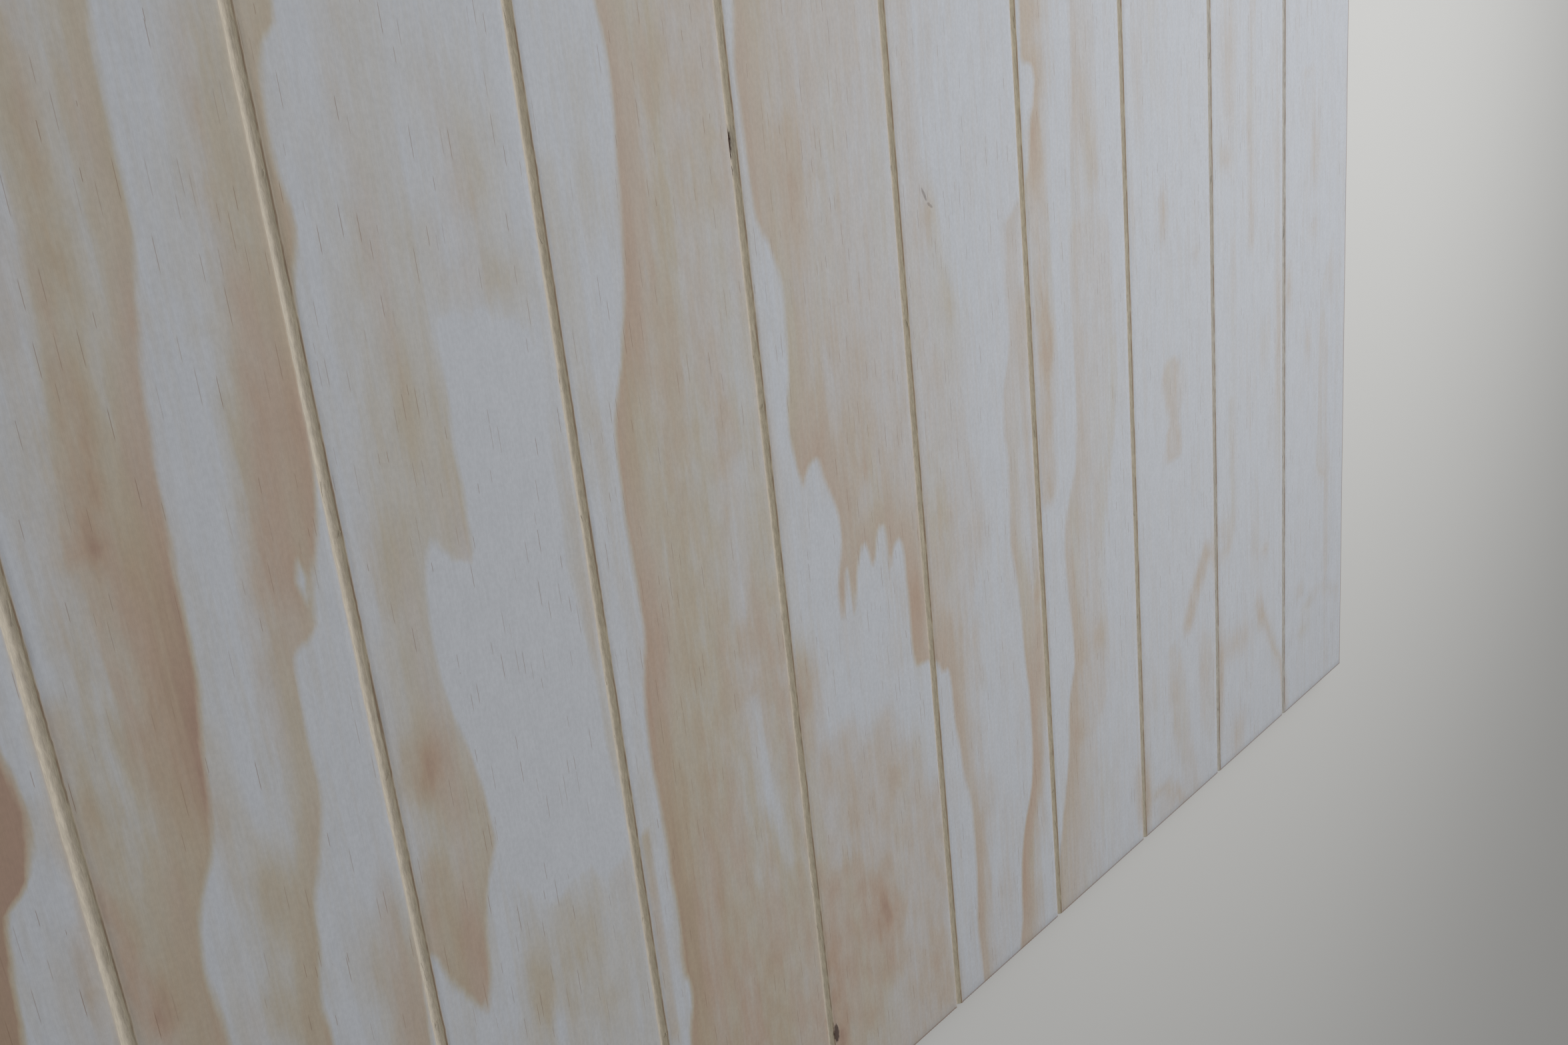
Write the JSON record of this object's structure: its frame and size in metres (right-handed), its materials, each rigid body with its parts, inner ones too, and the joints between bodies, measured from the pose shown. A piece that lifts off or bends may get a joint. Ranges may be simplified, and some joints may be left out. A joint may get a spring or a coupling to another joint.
{
  "type": "grooved plywood sheet",
  "caption": "Flat rectangular sheet of pale pine plywood with evenly spaced V grooves along its length, for lining walls and ceilings.",
  "frame": {"origin": "middle of the sheet's flat back face", "axes": "+X across the grooves, along the sheet's width; +Y along the grooves and the face grain, along the sheet's length; +Z out of the grooved face"},
  "size_m": [1.2, 2.4, 0.012],
  "materials": {
    "pine_plywood": "sanded bare"
  },
  "bodies": {
    "root": {"plywood_sheet": "pine_plywood"}
  },
  "joints": []
}
